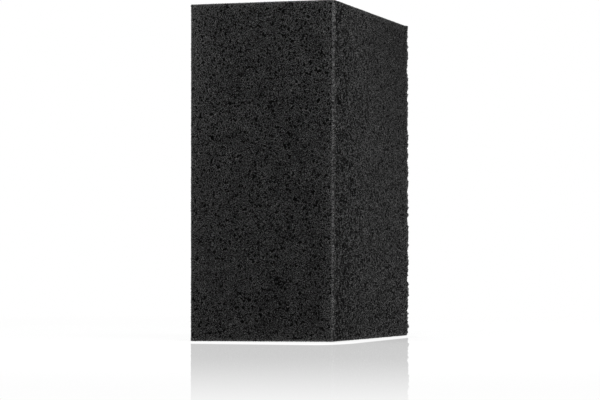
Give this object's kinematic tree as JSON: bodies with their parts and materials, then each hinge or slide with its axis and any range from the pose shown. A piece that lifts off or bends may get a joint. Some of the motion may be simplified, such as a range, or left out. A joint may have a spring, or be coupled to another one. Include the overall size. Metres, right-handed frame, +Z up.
{
  "type": "sanding sponge",
  "caption": "Rectangular block of dark open-cell foam with abrasive grit bonded to it, for sanding by hand.",
  "frame": {"origin": "centre of the end that the block stands on", "axes": "+X through the thickness, square to a broad face; +Y across the broad faces, towards the torn rear arrises; +Z up, along the length"},
  "size_m": [0.045, 0.075, 0.1],
  "materials": {
    "grit_foam": "charcoal open-cell foam coated with fine abrasive grit: matt, porous, paler along worn arrises"
  },
  "bodies": {
    "root": {"foam_block": "grit_foam"}
  },
  "joints": []
}
